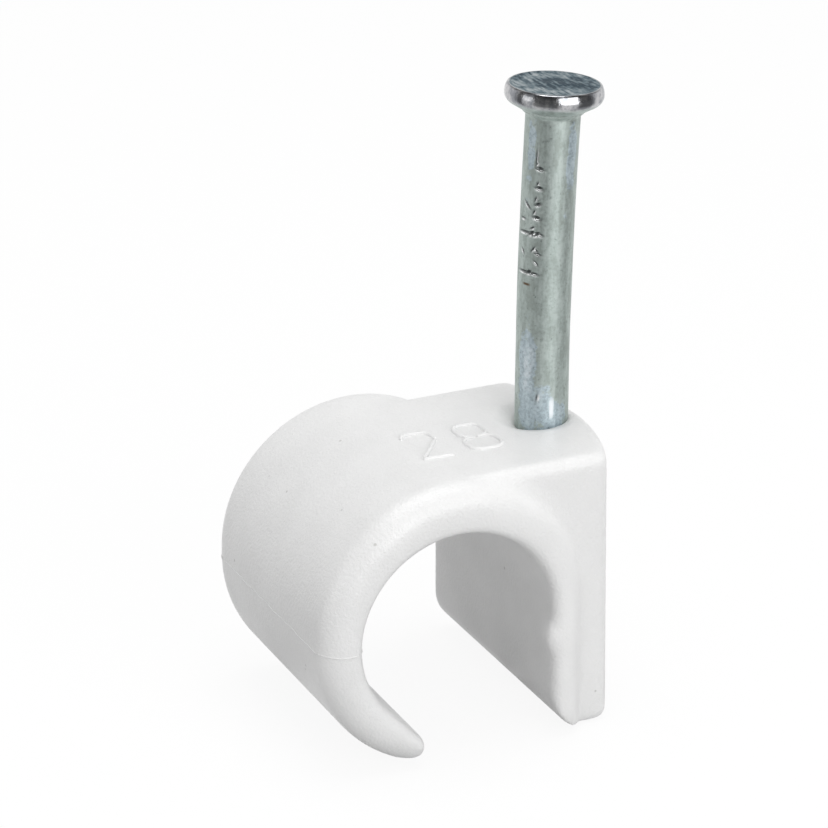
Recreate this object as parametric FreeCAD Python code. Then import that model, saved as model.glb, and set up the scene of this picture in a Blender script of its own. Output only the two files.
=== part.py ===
import FreeCAD, Part
import math
import os

# Cable clip with a nail: a plastic moulding that hooks over a round cable, and the nail pressed into its tower.
# X runs across the cable, from the hook to the nail. Y runs along the cable. Z points away from the wall.
# The origin is on the cable's axis, halfway along the saddle. All sizes are in millimetres.

# Saddle over the cable
cable_radius = 3.8
saddle_length = 10.5
hook_wall = 1.6
crown_wall = 1.93
leg_wall = 1.43
axis_to_wall = 5.22
outer_nose = 1.0
inner_nose = 0.45

# Hook end
tip_radius = 0.5
toe_lift = 0.34
toe_flat = 0.5

# Leg and foot
foot_rounding = 1.95
nub_radius = 0.42
nub_half_height = 1.02
nub_reach = 0.22
nub_below_axis = 1.12
nub_setback = 0.45

# Nail tower
tower_below_crown = 0.02
tower_front_setback = 0.6
tower_rear_setback = 1.75
tower_flat_end = 6.1
tower_bulge = 1.05
tower_draft = 0.2
tower_rounding = 0.43
dish_radius = 1.6
dish_depth = 0.5
dish_setback = 0.25
dish_wall_deg = 50.0
dish_lip_rounding = 0.35

# Nail
nail_radius = 1.0
nail_offset = 5.69
nail_from_tower_front = 4.38
nail_lean_deg = 0.08
nail_fit_clearance = 0.01
nail_above_tower = 12.8
nail_point_inset = 0.54
point_length = 2.6
point_flat = 0.15
bend_above_tower = 1.5
bend_deg = 2.5
bend_radius = 190.0
head_radius = 1.81
head_rim = 0.56
head_cone = 0.38
head_rim_rounding = 0.14
head_belly_rounding = 0.35
collar_radius = 1.16
collar_length = 0.22

# Sizes that follow from the ones above
half_length = saddle_length / 2
hook_outer_radius = cable_radius + hook_wall
crown_z = cable_radius + crown_wall
crown_lift = crown_z - hook_outer_radius
shoulder_radius = cable_radius + leg_wall
shoulder_centre_z = crown_z - shoulder_radius
wall_z = -axis_to_wall
tower_front_y = -half_length + tower_front_setback
tower_rear_y = half_length - tower_rear_setback
tower_z = crown_z - tower_below_crown
tower_end_x = tower_flat_end + tower_bulge
nail_y = tower_front_y + nail_from_tower_front
nail_hole_radius = nail_radius + nail_fit_clearance
past_all = 2 * (saddle_length + tower_end_x + nail_above_tower)
touch = 0.004


def vector(x, y, z):
    return FreeCAD.Vector(x, y, z)


ORIGIN = vector(0, 0, 0)
X_AXIS = vector(1, 0, 0)
Y_AXIS = vector(0, 1, 0)
Z_AXIS = vector(0, 0, 1)


def on_circle(centre, radius, angle):
    """Point of a circle that lies square to Y; the angle is in radians from +X towards +Z."""
    return vector(centre.x + radius * math.cos(angle), centre.y, centre.z + radius * math.sin(angle))


def line(start, end):
    return Part.LineSegment(start, end).toShape()


def arc(start, middle, end):
    return Part.Arc(start, middle, end).toShape()


def chain(points):
    """Straight edges from each point to the next."""
    return [line(start, end) for start, end in zip(points, points[1:])]


def section(edges):
    return Part.Face(Part.Wire(edges))


def middle_of(edge):
    return edge.valueAt((edge.FirstParameter + edge.LastParameter) / 2)


def joined(first, *others):
    """One body of several, without the seams between faces that continue each other."""
    body = first.fuse(list(others)).removeSplitter()
    return body.Solids[0] if len(body.Solids) == 1 else body


def corner_waste(corner, inward_a, inward_b, radius):
    """Section of what is cut off to round a square corner: a square over the corner, less its quarter disc."""
    reach_a = inward_a * radius
    reach_b = inward_b * radius
    centre = corner.add(reach_a).add(reach_b)
    start = corner.add(reach_b)
    end = corner.add(reach_a)
    bulge = centre.sub(inward_a.add(inward_b) * (radius * math.sqrt(0.5)))
    outside = [end, end.sub(reach_b), corner.sub(reach_a).sub(reach_b), start.sub(reach_a), start]
    return section([arc(start, bulge, end)] + chain(outside))


# Where the hook ends: its toe stops just short of the wall plane, so that the nail can pull the foot tight
toe_z = wall_z + toe_lift
toe_x = -math.sqrt(hook_outer_radius ** 2 - toe_z ** 2)
tip_centre = vector(toe_x + toe_flat, 0, toe_z + tip_radius)

# The lead-in is the straight line that touches both the saddle's bore and the rounded tip
tip_bearing = math.atan2(tip_centre.z, tip_centre.x) + 2 * math.pi
lead_in_bearing = tip_bearing - math.acos((cable_radius + tip_radius) / tip_centre.Length)


def saddle_blank():
    """Outside of the saddle before its edges are rounded: hook, raised crown, shoulder and leg."""
    y = -half_length
    axis = vector(0, y, 0)
    raised = vector(0, y, crown_lift)
    shoulder_centre = vector(0, y, shoulder_centre_z)
    crown = vector(0, y, crown_z)
    flat_top = on_circle(raised, hook_outer_radius, math.pi)
    flat_bottom = on_circle(axis, hook_outer_radius, math.pi)
    bottom = on_circle(axis, hook_outer_radius, 1.5 * math.pi)
    shoulder_end = on_circle(shoulder_centre, shoulder_radius, 0)
    edges = [
        arc(crown, on_circle(raised, hook_outer_radius, 0.75 * math.pi), flat_top),
        line(flat_top, flat_bottom),
        arc(flat_bottom, on_circle(axis, hook_outer_radius, 1.25 * math.pi), bottom),
        line(bottom, vector(shoulder_radius, y, bottom.z)),
        line(vector(shoulder_radius, y, bottom.z), shoulder_end),
        arc(shoulder_end, on_circle(shoulder_centre, shoulder_radius, math.pi / 4), crown),
    ]
    return section(edges).extrude(vector(0, saddle_length, 0))


def cable_way():
    """Space of the cable, the gap it is pushed in through, and everything beyond the wall plane."""
    y = -half_length - 1
    axis = vector(0, y, 0)
    centre = vector(tip_centre.x, y, tip_centre.z)
    lead_in_start = on_circle(axis, cable_radius, lead_in_bearing)
    lead_in_end = on_circle(centre, tip_radius, lead_in_bearing - math.pi)
    tip_lowest = on_circle(centre, tip_radius, -0.5 * math.pi)
    tip_middle = on_circle(centre, tip_radius, (lead_in_bearing - 1.5 * math.pi) / 2)
    leg_top = on_circle(axis, cable_radius, 0)
    beyond_wall = [
        leg_top,
        vector(cable_radius, y, wall_z),
        vector(past_all, y, wall_z),
        vector(past_all, y, -past_all),
        vector(-past_all, y, -past_all),
        vector(-past_all, y, toe_z),
        tip_lowest,
    ]
    edges = [arc(lead_in_start, on_circle(axis, cable_radius, lead_in_bearing / 2), leg_top)]
    edges += chain(beyond_wall)
    edges += [arc(tip_lowest, tip_middle, lead_in_end), line(lead_in_end, lead_in_start)]
    return section(edges).extrude(vector(0, saddle_length + 2, 0))


def saddle():
    """Saddle, hook and leg. The cable's way has rounded ends in one run, and the outside ends in wide noses."""
    band = saddle_blank().cut(cable_way())
    bore_ends = []
    for edge in band.Edges:
        middle = middle_of(edge)
        on_bore = abs(math.hypot(middle.x, middle.z) - cable_radius) < 1e-6
        if on_bore and abs(abs(middle.y) - half_length) < 1e-6:
            bore_ends.append(edge)
    band = band.makeFillet(inner_nose, bore_ends)
    noses = []
    for side in (-1, 1):
        end_y = side * half_length
        inward_y = Y_AXIS * -side
        hook_top = corner_waste(vector(-hook_outer_radius, end_y, crown_lift), X_AXIS, inward_y, outer_nose)
        hook_side = corner_waste(vector(-hook_outer_radius, end_y, 0), X_AXIS, inward_y, outer_nose)
        shoulder = vector(shoulder_radius, end_y, shoulder_centre_z)
        leg_side = corner_waste(shoulder, X_AXIS * -1, inward_y, outer_nose)
        noses += [
            hook_top.revolve(vector(0, 0, crown_lift), Y_AXIS, 90),
            hook_side.extrude(vector(0, 0, crown_lift)),
            hook_side.revolve(ORIGIN, Y_AXIS, -90),
            leg_side.revolve(vector(0, 0, shoulder_centre_z), Y_AXIS, -90),
            leg_side.extrude(vector(0, 0, 2 * wall_z)),
        ]
    return band.cut(noses)


def nail_dish():
    """Dished mouth of the nail hole: level floor, sloping wall, and a rounded lip that runs out at the tower's top."""
    angle = math.radians(dish_wall_deg)
    lip = []
    for turned in (0, angle / 2, angle):
        lip.append(vector(
            dish_radius - dish_lip_rounding * math.sin(turned), 0, dish_lip_rounding * (math.cos(turned) - 1)))
    floor_radius = lip[2].x - (dish_depth + lip[2].z) / math.tan(angle)
    corners = [
        lip[2],
        vector(floor_radius, 0, -dish_depth),
        vector(0, 0, -dish_depth),
        vector(0, 0, dish_depth),
        vector(dish_radius, 0, dish_depth),
        lip[0],
    ]
    dish = section([arc(*lip), *chain(corners)]).revolve(ORIGIN, Z_AXIS, 360)
    dish.translate(vector(nail_offset - dish_setback, nail_y, tower_z + touch))
    return dish


def tower():
    """Block that carries the nail: flat on top, bulging behind the nail and slightly wider at the wall."""
    middle_y = (tower_front_y + tower_rear_y) / 2
    front_corner = vector(tower_flat_end + tower_draft, tower_front_y, wall_z)
    rear_corner = vector(tower_flat_end + tower_draft, tower_rear_y, wall_z)
    bulge = vector(tower_end_x + tower_draft, middle_y, wall_z)
    rear_start = vector(tower_draft, tower_rear_y, wall_z)
    front_start = vector(tower_draft, tower_front_y, wall_z)
    edges = [arc(front_corner, bulge, rear_corner)]
    edges += chain([rear_corner, rear_start, front_start, front_corner])
    block = section(edges).extrude(vector(-tower_draft, 0, tower_z - wall_z))

    outer = [edge for edge in block.Edges if middle_of(edge).x > tower_draft + 1e-6]
    block = block.makeFillet(tower_rounding, outer)

    inside_leg = cable_radius + leg_wall / 2
    start = vector(0, -half_length, 0)
    round_way = Part.makeCylinder(inside_leg, saddle_length, start, Y_AXIS)
    low_way = Part.makeBox(inside_leg, saddle_length, 2 * axis_to_wall, vector(0, -half_length, -2 * axis_to_wall))
    return block.cut([round_way, low_way])


def foot_waste():
    """Rounding that guides the cable past the foot, from the leg's inner wall to the wall plane."""
    corner = vector(cable_radius, -half_length - 1, wall_z)
    return corner_waste(corner, X_AXIS, Z_AXIS, foot_rounding).extrude(vector(0, saddle_length + 2, 0))


def lean(shape):
    """Turn an upright shape into the nail's direction, about the place where the nail enters the tower."""
    shape.rotate(vector(nail_offset, nail_y, tower_z), Y_AXIS, nail_lean_deg)
    return shape


def nail_hole():
    start = vector(nail_offset, nail_y, tower_z - past_all)
    return lean(Part.makeCylinder(nail_hole_radius, 2 * past_all, start, Z_AXIS))


def nub():
    """Small pointed swelling on the leg's front inner edge, which helps to keep the cable in."""
    x = cable_radius - nub_reach + nub_radius
    y = -half_length + nub_setback
    low = vector(x, y, -nub_below_axis - nub_half_height)
    high = vector(x, y, -nub_below_axis + nub_half_height)
    profile = section([arc(low, vector(x + nub_radius, y, -nub_below_axis), high), line(high, low)])
    return profile.revolve(low, Z_AXIS, 360)


def clip_body():
    solid = saddle().fuse(tower())
    solid = solid.cut([foot_waste(), nail_dish(), nail_hole()])
    return joined(solid, nub())


def nail_head(base_z):
    """Head and collar, turned about the shank's axis; base_z is where the collar starts."""
    collar_top = base_z + collar_length
    rim_bottom = collar_top + head_cone
    rim_top = rim_bottom + head_rim
    profile = [
        vector(0, 0, base_z),
        vector(nail_radius, 0, base_z),
        vector(collar_radius, 0, collar_top),
        vector(head_radius, 0, rim_bottom),
        vector(head_radius, 0, rim_top),
        vector(0, 0, rim_top),
        vector(0, 0, base_z),
    ]
    head = section(chain(profile)).revolve(ORIGIN, Z_AXIS, 360)
    for level, rounding in ((rim_top, head_rim_rounding), (rim_bottom, head_belly_rounding)):
        edges = []
        for edge in head.Edges:
            at_level = all(abs(vertex.Z - level) < 1e-6 for vertex in edge.Vertexes)
            if at_level and edge.BoundBox.YLength > head_radius:
                edges.append(edge)
        head = head.makeFillet(rounding, edges)
    return head


def nail_point(tip_z):
    """Four-sided point cut on the end of the shank."""
    blank = Part.makeCylinder(nail_radius, point_length, vector(0, 0, tip_z), Z_AXIS)
    squares = []
    for half_width, z in ((point_flat, tip_z), (nail_radius, tip_z + point_length)):
        corners = [
            vector(-half_width, -half_width, z),
            vector(half_width, -half_width, z),
            vector(half_width, half_width, z),
            vector(-half_width, half_width, z),
            vector(-half_width, -half_width, z),
        ]
        squares.append(Part.Wire(chain(corners)))
    return blank.common(Part.makeLoft(squares, True, True))


def nail():
    """Wire nail: point, straight shank in the tower, a long slight bend above it, and the head."""
    tip_z = wall_z - tower_z + nail_point_inset
    shank_start = tip_z + point_length
    bend_start = vector(0, 0, bend_above_tower)
    bend_centre = vector(bend_radius, 0, bend_above_tower)
    bend_length = bend_radius * math.radians(bend_deg)
    head_height = collar_length + head_cone + head_rim
    upper_length = nail_above_tower - head_height - bend_above_tower - bend_length
    lower_length = bend_above_tower - shank_start

    lower = Part.makeCylinder(nail_radius, lower_length, vector(0, 0, shank_start), Z_AXIS)
    disc = section([Part.makeCircle(nail_radius, bend_start, Z_AXIS)])
    bend = disc.revolve(bend_centre, Y_AXIS, bend_deg)
    upper = Part.makeCylinder(nail_radius, upper_length, bend_start, Z_AXIS)
    head = nail_head(bend_above_tower + upper_length)
    for shape in (upper, head):
        shape.rotate(bend_centre, Y_AXIS, bend_deg)
    solid = joined(nail_point(tip_z), lower, bend, upper, head)
    solid.translate(vector(nail_offset, nail_y, tower_z))
    return lean(solid)


os.makedirs("parts", exist_ok=True)
for name, solid in (("clip_body", clip_body()), ("nail", nail())):
    solid.exportStep(f"parts/{name}.step")
    print(f"{name}: {len(solid.Solids)} solid, valid {solid.isValid()}, {solid.Volume:.2f} cubic mm, {solid.BoundBox}")
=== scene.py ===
# %% [markdown]
# # A nail-in cable clip, dressed for a close-up
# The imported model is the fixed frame: a moulded plastic saddle and the wire nail in its tower.
# This file adds what the eye expects to see on them: soft moulded plastic, zinc plating, tool marks.
# Everything is in metres and stands where the frame stands, so nothing has to be fitted by hand.

import math

import bmesh
import bpy
import numpy as np
from mathutils import Matrix, Vector


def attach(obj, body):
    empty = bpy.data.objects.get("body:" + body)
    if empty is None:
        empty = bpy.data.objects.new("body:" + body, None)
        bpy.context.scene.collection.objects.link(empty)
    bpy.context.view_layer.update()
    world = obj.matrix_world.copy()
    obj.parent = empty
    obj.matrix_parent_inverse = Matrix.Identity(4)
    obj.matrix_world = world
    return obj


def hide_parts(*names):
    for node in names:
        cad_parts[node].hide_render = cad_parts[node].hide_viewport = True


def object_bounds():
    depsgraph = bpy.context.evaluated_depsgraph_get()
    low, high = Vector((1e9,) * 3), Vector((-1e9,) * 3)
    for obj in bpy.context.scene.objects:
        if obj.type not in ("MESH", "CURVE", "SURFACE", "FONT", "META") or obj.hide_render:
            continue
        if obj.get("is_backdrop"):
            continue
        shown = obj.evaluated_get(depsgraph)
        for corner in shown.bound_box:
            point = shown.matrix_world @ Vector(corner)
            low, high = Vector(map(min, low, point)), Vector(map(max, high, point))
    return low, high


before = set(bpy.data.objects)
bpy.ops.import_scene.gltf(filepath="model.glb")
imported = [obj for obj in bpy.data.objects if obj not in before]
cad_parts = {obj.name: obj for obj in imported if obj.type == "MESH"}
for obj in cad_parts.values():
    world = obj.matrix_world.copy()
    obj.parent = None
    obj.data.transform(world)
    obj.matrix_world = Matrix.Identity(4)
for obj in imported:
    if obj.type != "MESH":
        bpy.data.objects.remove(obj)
cad_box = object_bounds()
MM = 0.001
print("nodes:", {name: len(node.data.polygons) for name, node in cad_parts.items()})

# %% [markdown]
# ## Camera
# The photo is a close-up from the front left, a little above the clip, with a long lens.
# The camera's three directions come from two angles: how far it is turned from the cable's line and how
# far it looks down. The pivot is the saddle's axis, and the small shift slides the view across and up.

# %% Camera
CAMERA_TURN = math.radians(25.353)
CAMERA_DIP = math.radians(22.628)
CAMERA_DISTANCE = 120.004 * MM
CAMERA_ACROSS = 0.506 * MM
CAMERA_UP = 6.113 * MM
SENSOR_WIDTH = 36.0
FOCAL_LENGTH = 139.54

forward = Vector((
    math.sin(CAMERA_TURN) * math.cos(CAMERA_DIP),
    math.cos(CAMERA_TURN) * math.cos(CAMERA_DIP),
    -math.sin(CAMERA_DIP),
))
right = Vector((math.cos(CAMERA_TURN), -math.sin(CAMERA_TURN), 0))
up = right.cross(forward)
camera_data = bpy.data.cameras.new("camera")
camera_data.sensor_width = SENSOR_WIDTH
camera_data.lens = FOCAL_LENGTH
camera_data.clip_start = 1 * MM
camera_data.clip_end = 10
camera = bpy.data.objects.new("camera", camera_data)
camera.matrix_world = Matrix.Translation(
    right * CAMERA_ACROSS + up * CAMERA_UP - forward * CAMERA_DISTANCE
) @ Matrix((right, up, -forward)).transposed().to_4x4()
bpy.context.scene.collection.objects.link(camera)
bpy.context.scene.camera = camera
print("camera at", [round(value, 4) for value in camera.location])

# %% [markdown]
# ## Writing materials as maths
# A Blender material is a graph of nodes. Clicking one together hides the formula, so a small class wraps
# an output socket and lets Python's own signs add the Math nodes: `1 - mask * 0.5` becomes three nodes.
# All other nodes come from one method that takes the node's type, its settings and its inputs.


# %% Shader helpers
class Wire:
    """An output socket that can stand in a sum."""

    def __init__(self, shader, socket):
        self.shader = shader
        self.socket = socket

    def __add__(self, other):
        return self.shader.maths("ADD", self, other)

    def __sub__(self, other):
        return self.shader.maths("SUBTRACT", self, other)

    def __mul__(self, other):
        return self.shader.maths("MULTIPLY", self, other)

    def __rsub__(self, other):
        return self.shader.maths("SUBTRACT", other, self)

    def __pow__(self, other):
        return self.shader.maths("POWER", self, other)

    __radd__ = __add__
    __rmul__ = __mul__


class Shader:
    """A material whose nodes are added one by one."""

    home = "materials"
    output_kind = "ShaderNodeOutputMaterial"

    def __init__(self, name):
        self.owner = getattr(bpy.data, self.home).new(name)
        self.owner.use_nodes = True
        self.tree = self.owner.node_tree
        self.tree.nodes.clear()

    def node(self, kind, settings=None, inputs=None, output=0):
        """Add a node, set it up, connect or fill its inputs, and return one of its outputs."""
        made = self.tree.nodes.new(kind)
        for key, value in (settings or {}).items():
            if key == "stops":
                ramp = made.color_ramp.elements
                while len(ramp) < len(value):
                    ramp.new(1.0)
                for element, (position, colour) in zip(ramp, value):
                    element.position = position
                    element.color = (*colour, 1.0)
            else:
                setattr(made, key, value)
        for key, value in (inputs or {}).items():
            if isinstance(value, Wire):
                self.tree.links.new(value.socket, made.inputs[key])
            else:
                made.inputs[key].default_value = value
        return Wire(self, made.outputs[output]) if len(made.outputs) else None

    def path_kind(self, *kinds):
        """1 for rays of any of these kinds, such as "Is Camera Ray", and 0 for all others."""
        paths = [self.node("ShaderNodeLightPath", output=kind) for kind in kinds]
        total = paths[0]
        for path in paths[1:]:
            total = self.maths("MAXIMUM", total, path)
        return total

    def maths(self, operation, *values):
        """One Math node for what has no sign of its own, such as MAXIMUM."""
        return self.node("ShaderNodeMath", {"operation": operation}, dict(enumerate(values)))

    def vector(self, operation, *values, output="Vector"):
        """One Vector Math node, such as DOT_PRODUCT."""
        inputs = dict(enumerate(values))
        return self.node("ShaderNodeVectorMath", {"operation": operation}, inputs, output)

    def place_in_mm(self):
        """The shaded point's place on the object, in millimetres."""
        place = self.node("ShaderNodeTexCoord", output="Object")
        return self.vector("MULTIPLY", place, (1 / MM, 1 / MM, 1 / MM))

    def noise(self, place, scale, detail=2.0, roughness=0.5):
        """Soft random pattern from 0 to 1, with about `scale` lumps per millimetre."""
        inputs = {"Vector": place, "Scale": scale, "Detail": detail, "Roughness": roughness}
        return self.node("ShaderNodeTexNoise", inputs=inputs)

    def ramp(self, factor, stops):
        """A colour for each factor, blended between stops of a position and a colour."""
        return self.node("ShaderNodeValToRGB", {"stops": stops}, {0: factor})

    def mix(self, factor, first, second, blend="MIX"):
        """The first colour where the factor is 0, and the second, or their blend, where it is 1."""
        settings = {"data_type": "RGBA", "blend_type": blend}
        return self.node("ShaderNodeMix", settings, {0: factor, 6: first, 7: second}, output=2)

    def soft_step(self, value, start, end, low, high):
        """`low` up to the start, `high` beyond the end, and a smooth change in between."""
        inputs = {"Value": value, "From Min": start, "From Max": end, "To Min": low, "To Max": high}
        return self.node("ShaderNodeMapRange", {"interpolation_type": "SMOOTHSTEP"}, inputs)

    def bump(self, height, distance):
        """Tilted normals, as if the surface rose by this distance where the height is 1."""
        inputs = {"Height": height, "Strength": 1.0, "Distance": distance}
        return self.node("ShaderNodeBump", inputs=inputs)

    def finish(self, surface):
        """Connect the surface to the output and return the finished material."""
        self.node(self.output_kind, inputs={"Surface": surface})
        print(self.owner.name, "has", len(self.tree.nodes), "nodes")
        return self.owner


# %% [markdown]
# ## Helpers for shapes made of numbers
# Every new piece here is a grid of points worked out by a formula, and the same two helpers turn any such
# grid into an object. The grid closes on itself like a sleeve, and a fan of triangles closes each end.


# %% Shape helpers
def closed_grid(rows, columns):
    """Quads between neighbouring rows and columns, the last column joined to the first, and a fan of
    triangles from each end row to its pole. The two poles are the last two points."""
    ring = np.arange(columns)
    beside = (ring + 1) % columns
    row = np.arange(rows - 1)[:, None] * columns
    next_row = row + columns
    quads = np.stack([row + ring, row + beside, next_row + beside, next_row + ring], axis=-1)
    last = (rows - 1) * columns
    low_pole = np.stack([beside, ring, np.full(columns, rows * columns)], axis=-1)
    high_pole = np.stack([last + ring, last + beside, np.full(columns, rows * columns + 1)], axis=-1)
    return quads.reshape(-1, 4), np.concatenate([low_pole, high_pole])


def sleeve(name, rings, low_end, high_end):
    """A smooth-shaded object from rings of points in millimetres and the two points that close its ends.
    A mesh keeps all corners in one long list, so each face is stored as the place of its first corner."""
    quads, triangles = closed_grid(*rings.shape[:2])
    vertices = np.concatenate([rings.reshape(-1, 3), [low_end, high_end]]) * MM
    loops = np.concatenate([quads.ravel(), triangles.ravel()])
    sizes = np.concatenate([np.full(len(quads), 4), np.full(len(triangles), 3)])
    first_corners = np.concatenate([[0], np.cumsum(sizes)[:-1]])
    mesh = bpy.data.meshes.new(name)
    mesh.vertices.add(len(vertices))
    mesh.vertices.foreach_set("co", vertices.astype(np.float32).ravel())
    mesh.loops.add(len(loops))
    mesh.loops.foreach_set("vertex_index", loops.astype(np.int32))
    mesh.polygons.add(len(sizes))
    mesh.polygons.foreach_set("loop_start", first_corners.astype(np.int32))
    mesh.polygons.foreach_set("use_smooth", np.ones(len(sizes), bool))
    mesh.update(calc_edges=True)
    mesh.validate()
    piece = bpy.data.objects.new(name, mesh)
    bpy.context.scene.collection.objects.link(piece)
    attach(piece, "root")
    print(name, "has", len(mesh.polygons), "faces")
    return piece


def store(piece, name, values):
    """Keep one number per point with the mesh, for the material to read."""
    layer = piece.data.attributes.new(name, "FLOAT", "POINT")
    layer.data.foreach_set("value", values.astype(np.float32))


# %% [markdown]
# ## The nail's axis
# The wire is straight in the tower, bends slightly in a long arc above it, and is straight again up to
# the head. A place on the nail is then a height along this line and an angle round it. Both are turned
# into X, Y, Z with two directions that stay square to the line, so the nail's skin can be written as a
# radius. From here on all sizes are in millimetres, and heights count from the tower's top.

# %% The nail's axis
NAIL_FOOT = np.array([5.69, -0.27, 5.71])
NAIL_LEAN = math.radians(0.08)
HEAD_TOP = 12.8
BEND_START = 1.5
BEND_RADIUS = 190.0
BEND_ANGLE = math.radians(2.5)


def nail_line(height):
    """Centre and sideways direction at each height above the tower: a line, an arc of the bend's radius,
    and a line again in the arc's last direction, all leaned about the point where the nail enters the
    tower."""
    turned = np.clip((height - BEND_START) / BEND_RADIUS, 0, BEND_ANGLE)
    beyond = np.maximum(height - BEND_START - BEND_RADIUS * BEND_ANGLE, 0)
    x = BEND_RADIUS * (1 - np.cos(turned)) + beyond * math.sin(BEND_ANGLE)
    z = np.minimum(height, BEND_START) + BEND_RADIUS * np.sin(turned) + beyond * math.cos(BEND_ANGLE)
    lean_x = x * math.cos(NAIL_LEAN) + z * math.sin(NAIL_LEAN)
    lean_z = z * math.cos(NAIL_LEAN) - x * math.sin(NAIL_LEAN)
    centre = NAIL_FOOT + np.stack([lean_x, 0 * x, lean_z], axis=-1)
    side = np.stack([np.cos(turned + NAIL_LEAN), 0 * x, -np.sin(turned + NAIL_LEAN)], axis=-1)
    return centre, side


head_centre, _ = nail_line(np.array(HEAD_TOP))
print("the nail's head is", round(float(head_centre[0] - NAIL_FOOT[0]), 2), "mm off its foot")

# %% [markdown]
# ## The nail's skin
# A wire nail is cut from drawn wire. A die grips the shank while a hammer upsets the head, and the die's
# teeth leave short nicks down one side. A lathe shape can't have nicks, so the whole nail is one grid:
# rows run up the axis, columns run round it, and each point gets a radius from a sum of formulas. Rows and
# columns are closest together where the nicks are, because a shape needs several points across each nick.

# %% The shank's rows
SHANK_RADIUS = 1.0
TIP_HEIGHT = -10.39
POINT_LENGTH = 2.6
POINT_FLAT = 0.15
POINT_TOP = TIP_HEIGHT + POINT_LENGTH
POINT_ROWS = 40
HEAD_HEIGHT = 1.16
HEAD_START = HEAD_TOP - HEAD_HEIGHT
SHANK_ROWS = (
    # from height, to height, step
    (POINT_TOP, -0.7, 0.25),
    (-0.7, 5.2, 0.08),
    (5.2, 10.7, 0.024),
    (10.7, HEAD_START, 0.05),
)
shank_heights = np.concatenate([
    np.linspace(TIP_HEIGHT, POINT_TOP, POINT_ROWS, endpoint=False),
    *(np.arange(*rows) for rows in SHANK_ROWS),
])
shank = np.stack([shank_heights, np.full(len(shank_heights), SHANK_RADIUS)], axis=1)
print("shank:", len(shank), "rows")

# %% [markdown]
# ### The head, one curve after another
# Each stretch of the outline is a list of heights and radii that begins where the last one ended: a collar
# that swells smoothly, a straight cone, a round belly that takes the cone's direction over into the
# upright, a rim that leans inwards in a shallow arc, a small roll, and the flat face in towards the axis.
# An arc is the same formula each time: its radius times the change of the sine and cosine of its angle.

# %% Collar, cone and belly
COLLAR_HEIGHT = 0.22
COLLAR_RADIUS = 1.16
COLLAR_TOP = HEAD_START + COLLAR_HEIGHT
CONE_HEIGHT = 0.38
RIM_LOW = COLLAR_TOP + CONE_HEIGHT
HEAD_RADIUS = 1.81
BELLY_RADIUS = 0.35
CURVE_ROWS = 15
CONE_ROWS = 7

turn = np.linspace(0, 1, CURVE_ROWS)
swelling = turn ** 2 * (3 - 2 * turn)
collar = np.stack([
    HEAD_START + COLLAR_HEIGHT * turn,
    SHANK_RADIUS + (COLLAR_RADIUS - SHANK_RADIUS) * swelling,
], axis=1)
turn = turn[1:]

cone_angle = math.atan2(HEAD_RADIUS - COLLAR_RADIUS, RIM_LOW - COLLAR_TOP)
belly_back = BELLY_RADIUS * math.tan(cone_angle / 2)
cone_start = np.array([COLLAR_TOP, COLLAR_RADIUS])
cone_end = np.array([
    RIM_LOW - belly_back * math.cos(cone_angle),
    HEAD_RADIUS - belly_back * math.sin(cone_angle),
])
cone = cone_start + np.linspace(0, 1, CONE_ROWS)[1:, None] * (cone_end - cone_start)
belly_turn = cone_angle * (1 - turn)
belly = np.stack([
    RIM_LOW + belly_back - BELLY_RADIUS * np.sin(belly_turn),
    HEAD_RADIUS - BELLY_RADIUS * (1 - np.cos(belly_turn)),
], axis=1)
print("cone at", round(math.degrees(cone_angle), 1), "degrees from the axis")

# %% Rim and face
SIDE_LEAN = math.radians(26)
EDGE_ROLL = 0.09
FACE_ROWS = 56

# the arc's radius that makes the rolled edge end exactly at the head's top
side_height = HEAD_TOP - RIM_LOW - belly_back - EDGE_ROLL * (1 - math.sin(SIDE_LEAN))
side_radius = side_height / math.sin(SIDE_LEAN)
side_turn = SIDE_LEAN * turn
rim_side = belly[-1] + side_radius * np.stack([np.sin(side_turn), np.cos(side_turn) - 1], axis=1)
roll_turn = SIDE_LEAN + (math.pi / 2 - SIDE_LEAN) * turn
edge = rim_side[-1] + EDGE_ROLL * np.stack([
    np.sin(roll_turn) - math.sin(SIDE_LEAN),
    np.cos(roll_turn) - math.cos(SIDE_LEAN),
], axis=1)
face_radius = edge[-1, 1]
face_radii = np.linspace(face_radius, 0.0, FACE_ROWS)[1:-1]
face = np.stack([np.full(len(face_radii), HEAD_TOP), face_radii], axis=1)
outline = np.concatenate([shank, collar, cone, belly, rim_side, edge, face])
heights, radii = outline[:, :1], outline[:, 1:]
print("head:", len(outline) - len(shank), "rows, face radius", round(float(face_radius), 2), "mm")

# %% The nail's columns
# from angle, to angle and step, in degrees from the +X side; the nicks are between 180 and 235
FINE_COLUMNS = (166, 240, 1.0)
COARSE_COLUMNS = (240, 526, 3.4)
fine, coarse = np.arange(*FINE_COLUMNS), np.arange(*COARSE_COLUMNS)
angles = np.radians(np.concatenate([fine, coarse]))[None, :]
print("nail grid:", len(heights), "rows of", angles.size)

# %% The four-sided point
square = np.maximum(np.abs(np.cos(angles)), np.abs(np.sin(angles)))
risen = np.clip((heights - TIP_HEIGHT) / POINT_LENGTH, 0, 1)
flats = (POINT_FLAT + (SHANK_RADIUS - POINT_FLAT) * risen) / square
radius = np.where(risen < 1, np.minimum(radii, flats), radii)
print("point: from", POINT_FLAT, "to", SHANK_RADIUS, "mm in half width over", POINT_LENGTH, "mm")

# %% [markdown]
# ## Nicks, waves and the hammered face
# Each nick is a short valley: deepest in the middle and gone after its own length and width, like the
# bell curve in statistics. The metal that it displaced stands up just below it and catches the light.
# The wire is also only nearly round: slow waves a few microns high bend its reflections.

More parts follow.
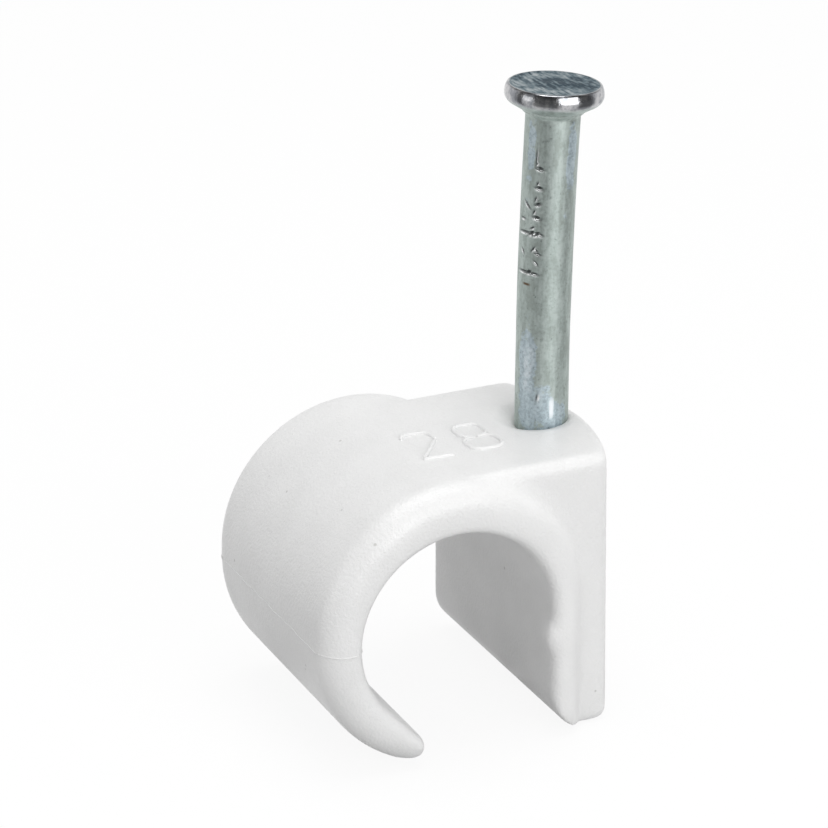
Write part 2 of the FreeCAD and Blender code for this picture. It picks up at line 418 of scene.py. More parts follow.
# %% Nicks
NICKS = (
    # height, angle, half length, half width, slant, depth
    (10.20, 211.6, 0.28, 0.028, 88, 0.045),
    (9.86, 220.5, 0.13, 0.045, -4, 0.100),
    (10.02, 213.5, 0.07, 0.035, 50, 0.045),
    (9.13, 221.0, 0.13, 0.045, -4, 0.095),
    (9.28, 217.0, 0.07, 0.035, 62, 0.050),
    (8.52, 220.0, 0.11, 0.042, 20, 0.080),
    (8.70, 214.5, 0.08, 0.030, 70, 0.050),
    (8.42, 195.0, 0.16, 0.030, -42, 0.060),
    (8.01, 219.0, 0.14, 0.045, -8, 0.095),
    (8.20, 212.0, 0.08, 0.034, 60, 0.050),
    (7.86, 183.0, 0.11, 0.030, 0, 0.040),
    (7.37, 187.0, 0.27, 0.036, 6, 0.075),
    (7.39, 207.0, 0.12, 0.048, 30, 0.105),
    (7.39, 219.0, 0.13, 0.048, 25, 0.110),
    (7.38, 228.5, 0.09, 0.040, -10, 0.070),
    (7.60, 210.0, 0.08, 0.032, 30, 0.050),
    (6.80, 213.5, 0.10, 0.032, 55, 0.050),
    (6.76, 221.0, 0.08, 0.028, -30, 0.050),
    (6.64, 225.0, 0.11, 0.030, -15, 0.060),
    (6.64, 186.0, 0.10, 0.030, -50, 0.045),
    (6.28, 222.0, 0.10, 0.030, -45, 0.050),
    (5.87, 190.0, 0.23, 0.034, 2, 0.070),
    (5.90, 205.0, 0.09, 0.048, 20, 0.095),
    (5.87, 219.0, 0.14, 0.034, -4, 0.070),
    (1.05, 231.0, 0.13, 0.040, 80, 0.040),
)
BANK_PLACE = -1.8
BANK_SHARE = 0.4
on_shank = heights < HEAD_START
pit, lip = np.zeros_like(radius), np.zeros_like(radius)


def round_from(angle_deg):
    """How far each column is from an angle, in radians, counted the short way round."""
    return np.mod(angles - math.radians(angle_deg) + math.pi, 2 * math.pi) - math.pi


for height, angle, half_length, half_width, slant, depth in NICKS:
    rise, around = heights - height, round_from(angle) * SHANK_RADIUS
    cosine, sine = math.cos(math.radians(slant)), math.sin(math.radians(slant))
    along = (around * cosine + rise * sine) / half_length
    across = (rise * cosine - around * sine) / half_width
    valley = np.exp(-along ** 2 - across ** 2)
    bank = np.exp(-along ** 2 - (across - BANK_PLACE) ** 2)
    radius -= depth * (valley - BANK_SHARE * bank) * on_shank
    pit, lip = np.maximum(pit, valley), np.maximum(lip, bank)
cut = (radii - radius)[on_shank[:, 0] & (heights[:, 0] > 0)]
print(len(NICKS), "nicks, the deepest", round(float(cut.max()), 3), "mm")

# %% Waves along the wire
RANDOM_SEED = 11
WAVE_COUNT = 26
WAVE_HEIGHT = 0.0011
random = np.random.default_rng(RANDOM_SEED)
waves = np.zeros_like(radius)
for _ in range(WAVE_COUNT):
    # 2 to 8 swells round the wire, twisting along it, and a beat that lets them come and go
    waves_round = random.integers(2, 9)
    waves_up, beat = random.uniform(0.3, 2.2), random.uniform(0.5, 1.3)
    phase, beat_phase = random.uniform(0, 2 * math.pi, 2)
    wave = np.cos(waves_round * angles + waves_up * heights + phase)
    waves += wave * np.cos(beat * heights + beat_phase)
radius += WAVE_HEIGHT * waves * (on_shank & (heights > POINT_TOP))
print("waves up to", round(float(WAVE_HEIGHT * np.abs(waves).max()), 4), "mm")

# %% The hammered face
DIMPLE_COUNT = 90
DIMPLE_HEIGHT = 0.011
DIMPLE_REACH = 1.6
FACE_DISH = 0.035
DISH_SLOPE = 0.35
on_face = (heights == HEAD_TOP) & (radii < face_radius)
flat_x, flat_y = radii * np.cos(angles), radii * np.sin(angles)
dimples = np.zeros_like(radius)
for _ in range(DIMPLE_COUNT):
    # a bell curve at a random place, up or down
    centre_x, centre_y = random.uniform(-DIMPLE_REACH, DIMPLE_REACH, 2)
    width = random.uniform(0.07, 0.34)
    distance_squared = (flat_x - centre_x) ** 2 + (flat_y - centre_y) ** 2
    dimples += random.uniform(-1, 1) * np.exp(-distance_squared / width ** 2)
inward = np.clip((face_radius - radii) / DISH_SLOPE, 0, 1)
sink = on_face * (DIMPLE_HEIGHT * dimples * inward - FACE_DISH * inward * (2 - inward))
print("face: from", round(float(sink.min()), 3), "to", round(float(sink.max()), 3), "mm")

# %% Build the nail
centres, sides = nail_line(heights[:, 0])
front = np.array([0.0, 1.0, 0.0])
axis = np.cross(sides, front)
outward = np.cos(angles)[..., None] * sides[:, None] + np.sin(angles)[..., None] * front
rings = centres[:, None] + radius[..., None] * outward + sink[..., None] * axis[:, None]
ends = nail_line(np.array([TIP_HEIGHT, HEAD_TOP - FACE_DISH]))[0]
wire_nail = sleeve("wire_nail", rings, *ends)
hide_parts("nail")

# %% [markdown]
# ## Where the plating differs
# Zinc plating on small nails is done in a tumbling barrel and comes out patchy: paler and bluer where the
# bath reached the metal well, olive grey elsewhere. The patches follow the wire, so they are worked out
# once on the grid, as soft rectangles in height and angle. The material makes their borders ragged.

# %% Plating patches
# each patch is a height, a half height, an angle, a half angle and a strength
BLUE_PATCHES = (
    (10.7, 0.95, 197, 13, 0.80),
    (9.0, 0.90, 193, 11, 0.35),
    (10.3, 1.35, 292, 15, 0.95),
    (8.3, 0.70, 285, 10, 0.40),
    (1.9, 1.70, 207, 24, 0.95),
    (0.7, 1.10, 225, 42, 0.85),
    (0.2, 0.80, 262, 44, 0.80),
    (3.9, 0.60, 205, 12, 0.45),
    (3.4, 1.00, 90, 50, 0.80),
    (9.0, 1.60, 60, 40, 0.60),
)
# painted highlights: the key lamp's glint low on the shank's front, and painted light on the shank's darker
# left side near the foot
PAINTED_HIGHLIGHT_PATCHES = (
    (0.62, 0.42, 264, 6, 1.0),
    (2.1, 1.3, 211, 17, 0.45),
)
STAIN_PATCHES = (
    (5.41, 0.05, 200, 9.74, 1.0),
)
POLISH_BLEND = 0.16
STRUCK_X, STRUCK_HALF_X = 0.25, 1.25
STRUCK_Y, STRUCK_HALF_Y = -0.10, 1.00
STRUCK_SLANT = 0.1


def strongest(patches):
    """The strongest patch at each point. A patch is e to the power of minus the fourth powers of how far up
    and how far round the point lies, in half sizes: flat in the middle and soft at its border."""
    total = np.zeros_like(radius)
    for height, half_height, angle, half_angle, strength in patches:
        away_up = (heights - height) / half_height
        away_round = round_from(angle) / math.radians(half_angle)
        total = np.maximum(total, strength * np.exp(-away_up ** 4 - away_round ** 4))
    return total


above_cone = np.clip((heights - RIM_LOW) / POLISH_BLEND + 0.5, 0, 1)
struck_x = (flat_x + STRUCK_SLANT * flat_y - STRUCK_X) / STRUCK_HALF_X
struck_y = (flat_y - STRUCK_Y) / STRUCK_HALF_Y
# a mask on the nail's grid, and its value at the pole in the middle of the face
masks = {
    "bluing": (strongest(BLUE_PATCHES), 0),
    "stain": (strongest(STAIN_PATCHES) * on_shank, 0),
    "burnish": (strongest(PAINTED_HIGHLIGHT_PATCHES), 0),
    "polish": (np.where(on_face, 0.0, above_cone) + 0 * radius, 0),
    "pit": (pit, 0),
    "lip": (lip, 0),
    "face": (on_face + 0 * radius, 1),
    "struck": (np.exp(-(struck_x ** 2 + struck_y ** 2) ** 2), 1),
}
for name, (values, in_middle) in masks.items():
    store(wire_nail, name, np.append(values.ravel(), [0, in_middle]))
print("stored masks:", *masks)

# %% [markdown]
# ## Zinc on steel
# The plating is a dull mirror. Its colour is mixed from an olive grey and a pale blue, with dark pores and
# drawn streaks along the wire. The head's rim was polished by the die, so it is much smoother than the
# shank, and the face is dark and mottled, with the fine hatch of the hammer that formed it.


# %% Nail finish
def nail_zinc():
    shader = Shader("nail_zinc")
    place = shader.place_in_mm()
    mask = {
        name: shader.node("ShaderNodeAttribute", {"attribute_name": name}, output="Fac")
        for name in masks
    }
    stretched = shader.node("ShaderNodeMapping", inputs={"Vector": place, "Scale": (1.0, 1.0, 0.25)})
    hatched = shader.node("ShaderNodeMapping", inputs={"Vector": place, "Scale": (1.0, 0.2, 1.0)})
    ragged = shader.noise(place, scale=2.4, detail=5.0, roughness=0.68)
    streaks = shader.noise(stretched, scale=4.0, detail=4.0, roughness=0.62)
    grain = shader.noise(place, scale=9.0, detail=3.0, roughness=0.6)
    hatch = shader.noise(hatched, scale=9.0, detail=2.0, roughness=0.6)
    mottle = shader.noise(place, scale=2.2, detail=5.0, roughness=0.65)

    # the drawn shank: olive or blue, with dark pores
    border = shader.ramp(mask["bluing"] + (ragged - 0.5) * 1.9, [
        (0.43, (0, 0, 0)), (0.58, (1, 1, 1))])
    olive = shader.ramp(streaks * 0.6 + grain * 0.4, [
        (0.41, (0.385, 0.435, 0.410)), (0.50, (0.465, 0.530, 0.505)), (0.59, (0.545, 0.610, 0.585))])
    blue = shader.ramp(streaks * 0.4 + grain * 0.6, [
        (0.40, (0.405, 0.480, 0.520)), (0.50, (0.515, 0.605, 0.645)), (0.60, (0.630, 0.715, 0.750))])
    colour = shader.mix(border, olive, blue)
    pores = shader.ramp(grain, [(0.26, (0.55, 0.57, 0.58)), (0.36, (1, 1, 1))])
    colour = shader.mix(1.0, colour, pores, "MULTIPLY")
    # painted highlight: inside these patches the shank turns pale, with ragged borders
    bright = shader.ramp(mask["burnish"] + (ragged - 0.5) * 1.6, [
        (0.35, (0, 0, 0)), (0.60, (1, 1, 1))])
    colour = shader.mix(bright * mask["burnish"], colour, (0.88, 0.92, 0.95, 1.0))
    colour = shader.mix(mask["stain"], colour, (0.16, 0.105, 0.065, 1.0))

    # the nicks: painted shade darkens each pit, and a painted glint turns the lip below it near white
    colour = shader.mix(mask["pit"] ** 0.6 * 0.95, colour, (0.04, 0.045, 0.05, 1.0))
    colour = shader.mix(mask["lip"], colour, (0.95, 0.96, 0.97, 1.0))

    # the head: a dark, blotched face and a polished rim
    blotch = shader.ramp(mottle * 0.5 + hatch * 0.5 - (mask["struck"] - 0.5) * 0.10, [
        (0.42, (0.045, 0.085, 0.115)), (0.49, (0.165, 0.235, 0.275)),
        (0.56, (0.320, 0.390, 0.420)), (0.66, (0.600, 0.650, 0.670))])
    colour = shader.mix(mask["face"], colour, blotch)
    shiny = shader.ramp(mottle, [(0.42, (0.28, 0.29, 0.31)), (0.58, (0.53, 0.53, 0.54))])
    colour = shader.mix(mask["polish"], colour, shiny)

    dull = 0.54 + (grain - 0.5) * 0.4 + (ragged - 0.5) * 0.25
    smoothed = (1 - mask["polish"] * 0.75) * (1 - mask["lip"] * 0.75) * (1 - mask["burnish"] * 0.4)
    relief = streaks * 0.5 + grain * 0.5 + mask["face"] * hatch * 1.6 + mask["polish"] * mottle * 1.5
    surface = shader.node("ShaderNodeBsdfPrincipled", inputs={
        "Base Color": colour,
        "Metallic": 1.0,
        "Roughness": dull * smoothed,
        "Normal": shader.bump(relief, 0.006 * MM),
    })
    return shader.finish(surface)


wire_nail.data.materials.append(nail_zinc())

# %% [markdown]
# ## The moulding, softened
# Molten plastic never fills a knife-sharp inside corner, and a mould is rounded by hand where its cuts meet.
# The frame's solid has crisp seams there, so a copy of it is rebuilt as an even net of small squares, and
# then each point is moved towards the middle of its neighbours: a little everywhere, and much more often in
# the valleys. Averaging is what a fillet tool does by eye, and it leaves the outer outline where it was.

# %% Even net over a copy of the frame's solid
VOXEL = 0.1
SAME_POINT = 0.0005
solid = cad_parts["clip_body"]
net = bmesh.new()
net.from_mesh(solid.data)
bmesh.ops.remove_doubles(net, verts=net.verts, dist=SAME_POINT * MM)
bmesh.ops.scale(net, vec=(1 / MM, 1 / MM, 1 / MM), verts=net.verts)
draft_mesh = bpy.data.meshes.new("moulding_draft")
net.to_mesh(draft_mesh)
net.free()
draft = bpy.data.objects.new("moulding_draft", draft_mesh)
bpy.context.scene.collection.objects.link(draft)
even = draft.modifiers.new("even", "REMESH")
even.mode = "VOXEL"
even.voxel_size = VOXEL
even.use_smooth_shade = True
moulding_mesh = bpy.data.meshes.new_from_object(draft.evaluated_get(bpy.context.evaluated_depsgraph_get()))
bpy.data.objects.remove(draft)
bpy.data.meshes.remove(draft_mesh)
print("even net:", len(moulding_mesh.polygons), "squares")

# %% Points and their neighbours
NEVER_ZERO = 0.01
count = len(moulding_mesh.vertices)


def read(items, name, kind, width):
    """One property of all points or edges of a mesh, as an array with this many columns."""
    values = np.empty(len(items) * width, kind)
    items.foreach_get(name, values)
    return values.reshape(-1, width)


points = read(moulding_mesh.vertices, "co", np.float32, 3).astype(float)
edge_ends = read(moulding_mesh.edges, "vertices", np.int32, 2)
from_here = np.concatenate([edge_ends[:, 0], edge_ends[:, 1]])
to_there = np.concatenate([edge_ends[:, 1], edge_ends[:, 0]])
neighbours = np.bincount(from_here, minlength=count)


def to_neighbours(values):
    """The step from each point's own values to the mean of its neighbours' values, column by column."""
    columns = [
        np.bincount(from_here, weights=column[to_there], minlength=count) for column in values.T
    ]
    return np.stack(columns, axis=1) / neighbours[:, None] - values


def beside_the_nail():
    """Direction away from the nail's axis and distance from it, both level, at each point."""
    away = points[:, :2] - NAIL_FOOT[:2]
    distance = np.linalg.norm(away, axis=1, keepdims=True)
    return away / np.maximum(distance, NEVER_ZERO), distance


print(count, "points with", round(float(neighbours.mean()), 2), "neighbours each")

# %% [markdown]
# ### A shallower dish in front of the nail
# The tower's top has a dish round the nail. In the photo it is deep behind the nail and nearly flat in
# front and to the right, so each point inside it rises by a share of what it lacks to the dish's rim. The
# share fades away from the nail, and the moulding's outline and the hole's wall stay where they are.

# %% Shallower dish
DISH_RIM = 5.68
DISH_LOW = 4.9
RAISED_BEHIND = 0.40
RAISED_IN_FRONT = 0.64
FRONT_DIRECTION = np.array([0.5, -0.866])
FRONT_FROM, FRONT_BLEND = -0.35, 0.6
RAISED_REACH, RAISED_FADE = 1.75, 0.3
HOLE_WALL = 1.03
OUTLINE_X = 6.95

away, distance = beside_the_nail()
in_front = np.clip((away @ FRONT_DIRECTION - FRONT_FROM) / FRONT_BLEND, 0, 1)
fade = np.clip((RAISED_REACH - distance[:, 0]) / RAISED_FADE, 0, 1)
raised = (RAISED_BEHIND + (RAISED_IN_FRONT - RAISED_BEHIND) * in_front) * fade
raised *= (distance[:, 0] > HOLE_WALL) & (points[:, 2] > DISH_LOW) & (points[:, 0] < OUTLINE_X)
gained = raised * np.maximum(DISH_RIM - points[:, 2], 0)
points[:, 2] += gained
print("dish raised by up to", round(float(gained.max()), 2), "mm")

# %% [markdown]
# ### Averaging, most in the valleys
# Half of the step to the neighbours' mean, repeated, smooths the net without making it ripple. Where that
# step points out of the surface, the point lies in a valley. This finds the inside corners, and many more
# rounds there melt them into soft fillets.

# %% Averaging
STEP_SHARE = 0.5
ROUNDS_EVERYWHERE = 8
ROUNDS_IN_VALLEYS = 40
VALLEY_DEPTH = 0.004
VALLEY_GROWTH = 1.15
VALLEY_GROWTH_ROUNDS = 6

for _ in range(ROUNDS_EVERYWHERE):
    points += STEP_SHARE * to_neighbours(points)
moulding_mesh.vertices.foreach_set("co", points.astype(np.float32).ravel())
moulding_mesh.update()
normals = read(moulding_mesh.vertices, "normal", np.float32, 3).astype(float)
outward_step = (to_neighbours(points) * normals).sum(axis=1, keepdims=True)
valley = np.clip(outward_step / VALLEY_DEPTH, 0, 1)
for _ in range(VALLEY_GROWTH_ROUNDS):
    valley = np.maximum(valley, VALLEY_GROWTH * (valley + to_neighbours(valley)))
valley = np.clip(valley, 0, 1)
for _ in range(ROUNDS_IN_VALLEYS):
    points += STEP_SHARE * valley * to_neighbours(points)
print("valley points:", int((valley > 0.5).sum()), "of", count)

# %% [markdown]
# ### The hole's lip, drawn back to the wire
# Averaging has also widened the mouth of the nail's hole, and the gap would show as a dark ring. So the
# points near the wire move towards it, the nearest ones most.

# %% The finished moulding
LIP_DRAWN = 0.13
LIP_REACH, LIP_FADE = 1.35, 0.35
LIP_LOW = 4.4

away, distance = beside_the_nail()
drawn = LIP_DRAWN * np.clip((LIP_REACH - distance) / LIP_FADE, 0, 1) * (points[:, 2:] > LIP_LOW)
points[:, :2] -= drawn * away
moulding_mesh.vertices.foreach_set("co", (points * MM).astype(np.float32).ravel())
moulding_mesh.polygons.foreach_set("use_smooth", np.ones(len(moulding_mesh.polygons), bool))
moulding_mesh.update()
moulding = bpy.data.objects.new("moulding", moulding_mesh)
bpy.context.scene.collection.objects.link(moulding)
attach(moulding, "root")
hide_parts("clip_body")
print("lip drawn by up to", round(float(drawn.max()), 2), "mm")

# %% [markdown]
# ## Beads: the parting line and a raised number
# Where the two halves of the mould meet, a hair of plastic is left, and it runs round the hook at the
# height of the cable's axis. Such clips also carry small raised marks on top. Both are beads: a path on
# the surface, with a low oval section swept along it. The marks here are a plain number of the mould's
# cavity, since the real lettering isn't copied.


# %% Bead helper
BEAD_SIDES = 16
TAPER_ROWS = 5


def bead(name, path, lift, half_width, height):
    """Half-sunk bead along a path: each point of a ring is path + side·w·cos t - lift·h·sin t, and the
    ring shrinks over the first and last few rows so that the bead ends softly."""
    side = np.cross(np.gradient(path, axis=0), lift)
    side /= np.linalg.norm(side, axis=1, keepdims=True)
    t = np.linspace(0, 2 * math.pi, BEAD_SIDES, endpoint=False)[None, :, None]
    row = np.arange(len(path))
    rows_from_end = np.minimum(row + 1, len(path) - row)
    taper = np.sqrt(np.clip(rows_from_end / TAPER_ROWS, 0, 1))[:, None, None]
    rings = path[:, None] + taper * (
        side[:, None] * half_width * np.cos(t) - lift[:, None] * height * np.sin(t))
    return sleeve(name, rings, path[0], path[-1])


# %% Parting line round the hook
HOOK_RADIUS = 5.4
HALF_LENGTH = 5.25
OUTER_NOSE = 1.0
INNER_NOSE = 0.45
BORE_RADIUS = 3.8
LINE_HALF_WIDTH = 0.035
LINE_HEIGHT = 0.012
CORNER_ROWS = 30
STRAIGHT_ROWS = 120


def corner_path(centre, corner_radius, start_deg, end_deg):
    """Points and outward directions of an arc in the plane of the cable's axis, as distance out and
    place along."""
    turned = np.radians(np.linspace(start_deg, end_deg, CORNER_ROWS))
    away = np.stack([np.cos(turned), np.sin(turned)], axis=1)
    return np.array(centre) + corner_radius * away, away


def both_ends(half):
    """A way over both ends of the saddle: this half mirrored along the cable, then this half backwards, with
    the middle point kept once."""
    return np.concatenate([half * np.array([1, -1]), half[-2::-1]])


straight = np.linspace(HALF_LENGTH - OUTER_NOSE, 0, STRAIGHT_ROWS)[1:]
stretches = [
    corner_path((BORE_RADIUS + INNER_NOSE, HALF_LENGTH - INNER_NOSE), INNER_NOSE, 180, 90),
    corner_path((HOOK_RADIUS - OUTER_NOSE, HALF_LENGTH - OUTER_NOSE), OUTER_NOSE, 90, 0),
    (
        np.stack([0 * straight + HOOK_RADIUS, straight], axis=1),
        np.stack([0 * straight + 1, 0 * straight], axis=1),
    ),
]
out, along = both_ends(np.concatenate([stretch[0] for stretch in stretches])).T
lift_out, lift_along = both_ends(np.concatenate([stretch[1] for stretch in stretches])).T
# the line wavers by a few hundredths of a millimetre, because a mould's halves never meet exactly
waver = 0.02 * np.sin(2.3 * along) + 0.015 * np.sin(5.1 * along + 1)
path = np.stack([-out, along, waver], axis=1)
lift = np.stack([-lift_out, lift_along, 0 * waver], axis=1)
parting_line = bead("parting_line", path, lift, LINE_HALF_WIDTH, LINE_HEIGHT)

# %% Raised cavity number
TOWER_TOP = NAIL_FOOT[2]
CROWN_CENTRE = 0.33
SHOULDER_CENTRE = 0.50
SHOULDER_RADIUS = 5.23
DIGIT_HALF_WIDTH = 0.08
DIGIT_HEIGHT = 0.10
SQUARENESS = 0.7
LOBE_ROWS = 48
STROKE_ROWS = 40


def top_height(x):
    """Height of the moulding's top: the hook's circle, the leg's circle, and the tower's plane where it
    is higher."""
    hook = CROWN_CENTRE + np.sqrt(HOOK_RADIUS ** 2 - np.minimum(x, 0) ** 2)
    leg = SHOULDER_CENTRE + np.sqrt(SHOULDER_RADIUS ** 2 - np.maximum(x, 0) ** 2)
    return np.where(x < 0, hook, np.maximum(leg, TOWER_TOP))


def bulged(value):
    """A sine or cosine to a power below one, with its sign kept, which squares a circle a little."""
    return np.sign(value) * np.abs(value) ** SQUARENESS


def lobe(centre_x, centre_y, half_x, half_y, start_deg, end_deg):
    """Part of a bulged circle: centre + half size times the bulged cosine or sine."""
    turned = np.radians(np.linspace(start_deg, end_deg, LOBE_ROWS))
    x = centre_x + half_x * bulged(np.cos(turned))
    y = centre_y + half_y * bulged(np.sin(turned))
    return np.stack([x, y], axis=1)


def straight_stroke(start, end):
    """Points in even steps from the start to the end."""
    start, end = np.array(start), np.array(end)
    return start + np.linspace(0, 1, STROKE_ROWS)[:, None] * (end - start)


TWO_X = 0.46
EIGHT_X = 2.53
# a lobe is a centre, half sizes and the first and last angle; a stroke is its two ends
strokes = {
    "two_bow": lobe(TWO_X, -0.58, 0.60, 0.56, 165, -20),
    "two_neck": straight_stroke((TWO_X + 0.57, -0.80), (TWO_X - 0.60, -2.32)),
    "two_base": straight_stroke((TWO_X - 0.62, -2.34), (TWO_X + 0.64, -2.34)),
    "eight_top": lobe(EIGHT_X, -0.61, 0.56, 0.57, -90, 270),
    "eight_low": lobe(EIGHT_X, -1.76, 0.66, 0.58, 90, 450),
}
digits = []
for name, stroke in strokes.items():
    path = np.column_stack([stroke, top_height(stroke[:, 0])])
    lift = np.array([[0.0, 0.0, 1.0]] * len(path))
    digits.append(bead("cavity_" + name, path, lift, DIGIT_HALF_WIDTH, DIGIT_HEIGHT))

# %% [markdown]
# ## White plastic
# The moulding copies the slightly rough steel of its mould. Highlights on such a skin aren't clean shapes
# with a sharp border, which a fine bump does here. A few dark specks are dirt in the granulate, made by
# asking how near each point is to a random seed in space.


# %% Clip finish
def clip_plastic():
    shader = Shader("clip_plastic")
    place = shader.place_in_mm()
    tone = shader.noise(place, scale=0.5, detail=3.0)
    grain = shader.noise(place, scale=9.0, detail=3.0, roughness=0.55)
    swell = shader.noise(place, scale=2.2, detail=3.0)
    colour = shader.ramp(tone * 0.7 + grain * 0.3, [
        (0.35, (0.805, 0.805, 0.803)), (0.65, (0.845, 0.845, 0.843))])
    seed = shader.node("ShaderNodeTexVoronoi", inputs={"Vector": place, "Scale": 0.85}, output="Distance")
    speck = shader.ramp(seed, [(0.035, (1, 1, 1)), (0.060, (0, 0, 0))])
    colour = shader.mix(speck * 0.45, colour, (0.35, 0.34, 0.32, 1.0))
    surface = shader.node("ShaderNodeBsdfPrincipled", inputs={
        "Base Color": colour,
        "Roughness": 0.31 + (swell - 0.5) * 0.1,
        "Normal": shader.bump(grain * 0.7 + swell * 0.3, 0.040 * MM),
    })
    return shader.finish(surface)


plastic = clip_plastic()
for piece in (moulding, parting_line, *digits):
    piece.data.materials.clear()
    piece.data.materials.append(plastic)

# %% [markdown]
# ## Floor and backdrop
# The photo's ground is pure white, which no lamp can make without bleaching the clip too. So rays from the
# camera, and rays that metal or gloss sends out, meet white paper that shines by itself, with a little of
# the real shading left in it for the shadow. All other rays meet a greyer paper that doesn't glare upwards.

# %% Floor
FLOOR_SIZE = 3.0
corners = np.array([(-1, -1, 0), (1, -1, 0), (1, 1, 0), (-1, 1, 0)]) * FLOOR_SIZE / 2
corners[:, 2] = cad_box[0].z
floor_mesh = bpy.data.meshes.new("floor")
floor_mesh.from_pydata(corners.tolist(), [], [(0, 1, 2, 3)])
floor = bpy.data.objects.new("floor", floor_mesh)
bpy.context.scene.collection.objects.link(floor)
floor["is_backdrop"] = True
print("floor at", round(cad_box[0].z / MM, 2), "mm")

# %% [markdown]
# ### What the shiny metal mirrors
# A bare white studio would make the zinc look like chalk. Metal looks like metal through dark bands between
# bright ones, so a mirrored ray meets white only on the far side and in two sectors: one to the right of
# the camera and a narrower one to its left. A sector is all directions whose cosine with its middle is
# above a limit, with a soft step at the limit. Floor and world share the same rule, so no seam shows.

# %% Bright sectors
DARK_SIDE = 0.15
BRIGHT_SECTORS = (
    # degrees to the right of the camera, half width, softness, strength
    (180, 82, 14, 1.0),
    (33, 22, 5, 0.9),
    (-66, 15, 5, 0.8),
)


def level_direction(turn_deg):
    """Level direction from the clip towards this many degrees to the right of the camera."""
    turned = CAMERA_TURN + math.pi - math.radians(turn_deg)
    return (math.sin(turned), math.cos(turned), 0.0)


def mirrored_light(shader, direction):
    """What gloss meets in this direction: the strongest sector that it points into, or else the dark
    side."""
    level = shader.vector("MULTIPLY", direction, (1.0, 1.0, 0.0))
    level = shader.vector("NORMALIZE", level)
    light = DARK_SIDE
    for turn_deg, half_deg, soft_deg, strength in BRIGHT_SECTORS:
        towards = shader.vector("DOT_PRODUCT", level, level_direction(turn_deg), output="Value")
        outer = math.cos(math.radians(half_deg + soft_deg))
        inner = math.cos(math.radians(half_deg - soft_deg))
        light = shader.maths("MAXIMUM", light, shader.soft_step(towards, outer, inner, 0.0, strength))
    return light


# %% Floor paper
SHADOW_SHARE = 0.09
NEAR_NAIL, FAR_FROM_NAIL = 18.0, 48.0
NEAR_SHARE = 0.6
WHITE = (1.0, 1.0, 1.0, 1.0)
LIT_WHITE = (0.97, 0.97, 0.97, 1.0)
LIT_GREY = (0.44, 0.44, 0.44, 1.0)


def floor_paper():
    """White and shining for rays that see or mirror it, grey for all others. Close to the nail even the dark
    sectors are paler, because the clip stands on bright paper."""
    shader = Shader("floor_paper")
    place = shader.place_in_mm()
    seen = shader.path_kind("Is Camera Ray", "Is Glossy Ray", "Is Transmission Ray")
    sight = shader.path_kind("Is Camera Ray", "Is Transmission Ray")
    from_nail = shader.vector("SUBTRACT", place, tuple(NAIL_FOOT))
    distance = shader.vector("LENGTH", from_nail, output="Value")
    close = shader.soft_step(distance, NEAR_NAIL, FAR_FROM_NAIL, 1.0, 0.0)
    mirrored = mirrored_light(shader, from_nail)
    mirrored = mirrored + close * (1 - mirrored) * NEAR_SHARE
    fibres = shader.noise(place, scale=0.8, detail=3.0)
    grey = shader.mix(seen, LIT_GREY, LIT_WHITE)
    tint = shader.ramp(fibres, [(0.3, (0.985, 0.985, 0.985)), (0.7, (1, 1, 1))])
    lit = shader.mix(1.0, grey, tint, "MULTIPLY")
    paper = shader.node("ShaderNodeBsdfDiffuse", inputs={"Color": lit})
    strength = sight + (1 - sight) * mirrored
    glow = shader.node("ShaderNodeEmission", inputs={"Color": WHITE, "Strength": strength})
    shining = seen * (1 - SHADOW_SHARE)
    return shader.finish(shader.node("ShaderNodeMixShader", inputs={0: shining, 1: paper, 2: glow}))


floor_mesh.materials.append(floor_paper())

# %% [markdown]
# ## World
# Where a ray leaves the scene, it meets the studio. The camera sees plain white there. A mirrored ray meets
# the same bright sectors as on the floor, dimmer high up than low down, and this is what gives the nail its
# dark bands. Light for matt surfaces is an even grey from all sides, which lifts the shadows.


# %% World
class WorldShader(Shader):
    """The same helpers for the world's own node tree."""

    home = "worlds"
    output_kind = "ShaderNodeOutputWorld"


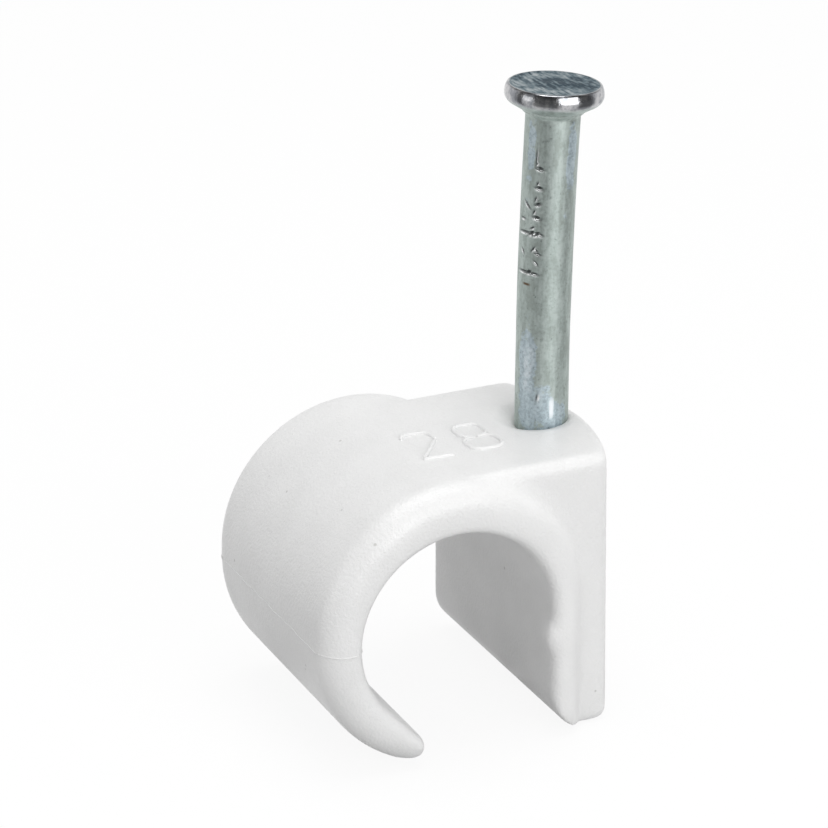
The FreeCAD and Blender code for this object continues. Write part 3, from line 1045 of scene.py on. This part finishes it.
FILL_STRENGTH = 0.58
DIM_FROM, DIM_TO = 0.15, 0.75
DIM_LIGHT = 0.25
shader = WorldShader("studio")
ray = shader.node("ShaderNodeTexCoord", output="Generated")
sight = shader.path_kind("Is Camera Ray", "Is Transmission Ray")
gloss = shader.path_kind("Is Glossy Ray")
upward = shader.node("ShaderNodeSeparateXYZ", inputs={0: ray}, output="Z")
low_down = shader.soft_step(upward, DIM_FROM, DIM_TO, 1.0, DIM_LIGHT)
mirrored = mirrored_light(shader, ray) * low_down
strength = sight + (1 - sight) * (gloss * mirrored + (1 - gloss) * FILL_STRENGTH)
background = shader.node("ShaderNodeBackground", inputs={"Color": WHITE, "Strength": strength})
bpy.context.scene.world = shader.finish(background)

# %% [markdown]
# ## Lamps
# Two softboxes light the clip from the sides: the key from the right of the camera and a very weak one from
# the left. A third lights the crown from above. A lamp's size sets how soft its shadow is, and its power
# how bright it is, so each was matched by itself.

# %% Lamps
LAMP_TARGET = (1, 0, 2)
LAMP_DISTANCE = 250


def softbox(name, direction, size, power):
    """A square lamp that looks at the clip from this direction, its size in millimetres and its power
    in watts."""
    data = bpy.data.lights.new(name, "AREA")
    data.size = size * MM
    data.energy = power
    lamp = bpy.data.objects.new(name, data)
    away = Vector(direction).normalized()
    lamp.location = (Vector(LAMP_TARGET) + away * LAMP_DISTANCE) * MM
    lamp.rotation_euler = away.to_track_quat("Z", "Y").to_euler()
    bpy.context.scene.collection.objects.link(lamp)
    print(name, "at", [round(value, 3) for value in lamp.location])


# seen from the camera, these stand to the right, to the left and overhead
softbox("key_softbox", (0.146, -0.959, 0.242), 200, 0.345)
softbox("fill_softbox", (-0.978, 0.023, 0.208), 110, 0.028)
softbox("top_softbox", (-0.007, -0.016, 1.0), 150, 0.250)

# %% [markdown]
# ## View and size
# Standard keeps white paper white. The last numbers are two boxes, the frame's and the finished model's.

# %% View and size
bpy.context.scene.view_settings.view_transform = "Standard"
visual_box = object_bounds()
boxes = {"cad": [list(corner) for corner in cad_box], "visual": [list(corner) for corner in visual_box]}
for name, box in boxes.items():
    print(name, "box, mm:", [[round(value / MM, 2) for value in corner] for corner in box])
